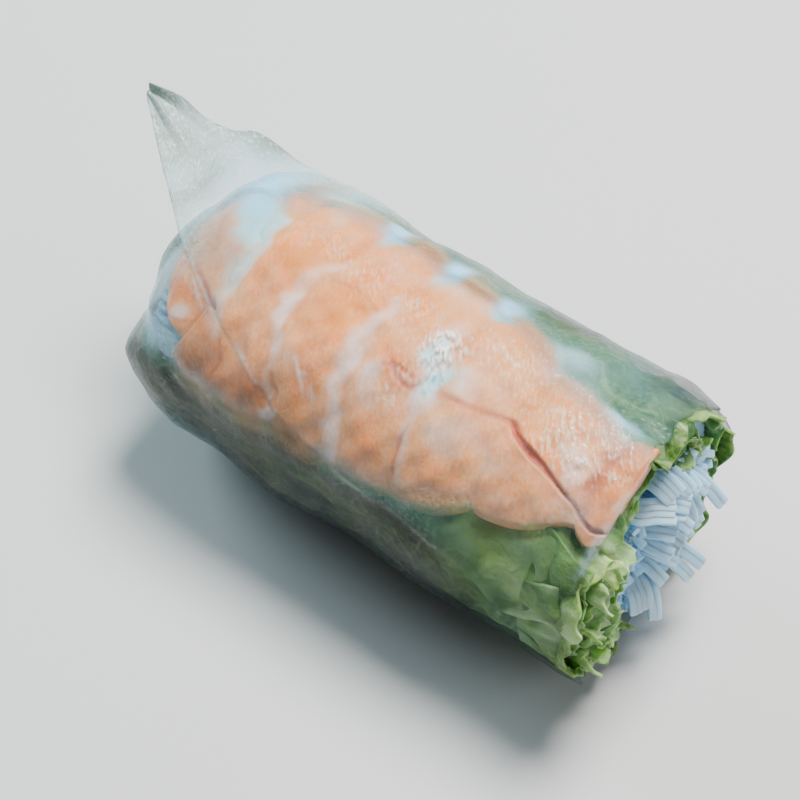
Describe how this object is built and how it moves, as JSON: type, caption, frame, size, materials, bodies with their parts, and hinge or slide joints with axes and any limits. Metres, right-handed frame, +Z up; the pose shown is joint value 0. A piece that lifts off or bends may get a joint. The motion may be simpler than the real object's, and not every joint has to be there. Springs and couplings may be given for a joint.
{
  "type": "rice paper roll",
  "caption": "Half of a fresh rice paper roll with prawns, lettuce and rice noodles, cut across and lying on its side.",
  "frame": {"origin": "on the surface the roll rests on, under the middle of its bounding box", "axes": "+X along the roll towards its cut end, +Z up, -Y towards the long side that shows most"},
  "size_m": [0.1006, 0.043, 0.0425],
  "materials": {
    "film": "wet, translucent rice paper with a fine sparkle and soft wrinkles; gloss_plastic stands in for it",
    "prawn": "cooked prawn, orange bands on white flesh, moist; gloss_plastic stands in for it",
    "lettuce": "fresh leaf, yellow-green to mid green with pale veins; matte_plastic stands in for it",
    "noodle": "boiled rice vermicelli, bluish white, moist and half translucent; gloss_plastic stands in for it"
  },
  "bodies": {
    "root": {"rice_paper": "film", "prawn_long": "prawn", "prawn_short": "prawn", "lettuce_back": "lettuce", "lettuce_front": "lettuce", "lettuce_inner": "lettuce", "vermicelli": "noodle"}
  },
  "joints": []
}
